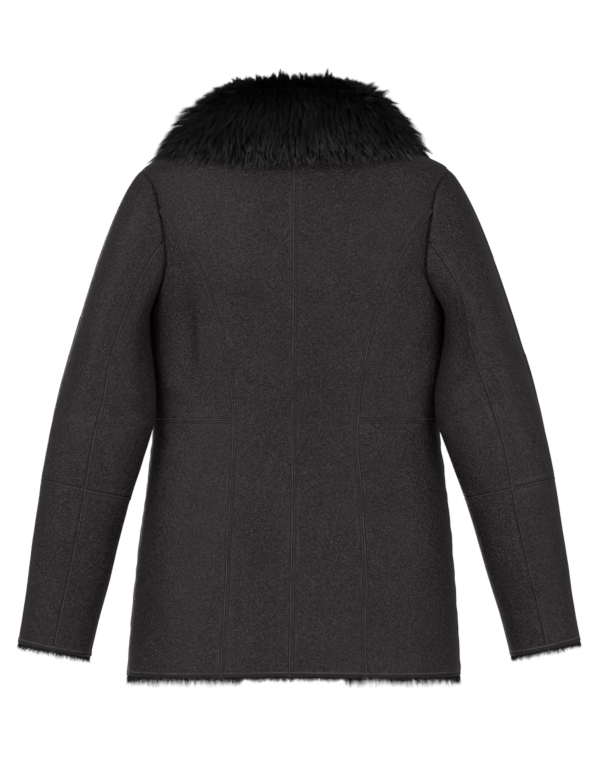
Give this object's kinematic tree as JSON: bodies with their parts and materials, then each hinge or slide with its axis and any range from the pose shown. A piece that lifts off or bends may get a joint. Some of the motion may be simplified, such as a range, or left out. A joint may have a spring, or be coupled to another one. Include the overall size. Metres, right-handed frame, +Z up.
{
  "type": "shearling jacket",
  "caption": "Fitted hip-length leather-side-out shearling jacket with a high fur collar, curved back seams, a waist seam and a wool edge at hem and cuffs.",
  "frame": {"origin": "middle of the neck opening, level with the points where the shoulder seams meet the neckline", "axes": "+Z up, the back faces -Y and the front +Y, the wearer's right side at +X"},
  "size_m": [0.7338, 0.2642, 0.7893],
  "materials": {
    "leather": "fine-grained nappa with a soft satin sheen",
    "fur": "long black fur",
    "horn": "dark polished horn"
  },
  "bodies": {
    "root": {"back_centre_left": "leather", "back_side_upper_left": "leather", "back_side_lower_left": "leather", "front_left": "leather", "sleeve_top_upper_left": "leather", "sleeve_top_lower_left": "leather", "sleeve_under_upper_left": "leather", "sleeve_under_lower_left": "leather", "back_centre_right": "leather", "back_side_upper_right": "leather", "back_side_lower_right": "leather", "front_right": "leather", "sleeve_top_upper_right": "leather", "sleeve_top_lower_right": "leather", "sleeve_under_upper_right": "leather", "sleeve_under_lower_right": "leather", "collar": "fur", "button_1": "horn", "button_2": "horn", "button_3": "horn", "button_4": "horn"}
  },
  "joints": []
}
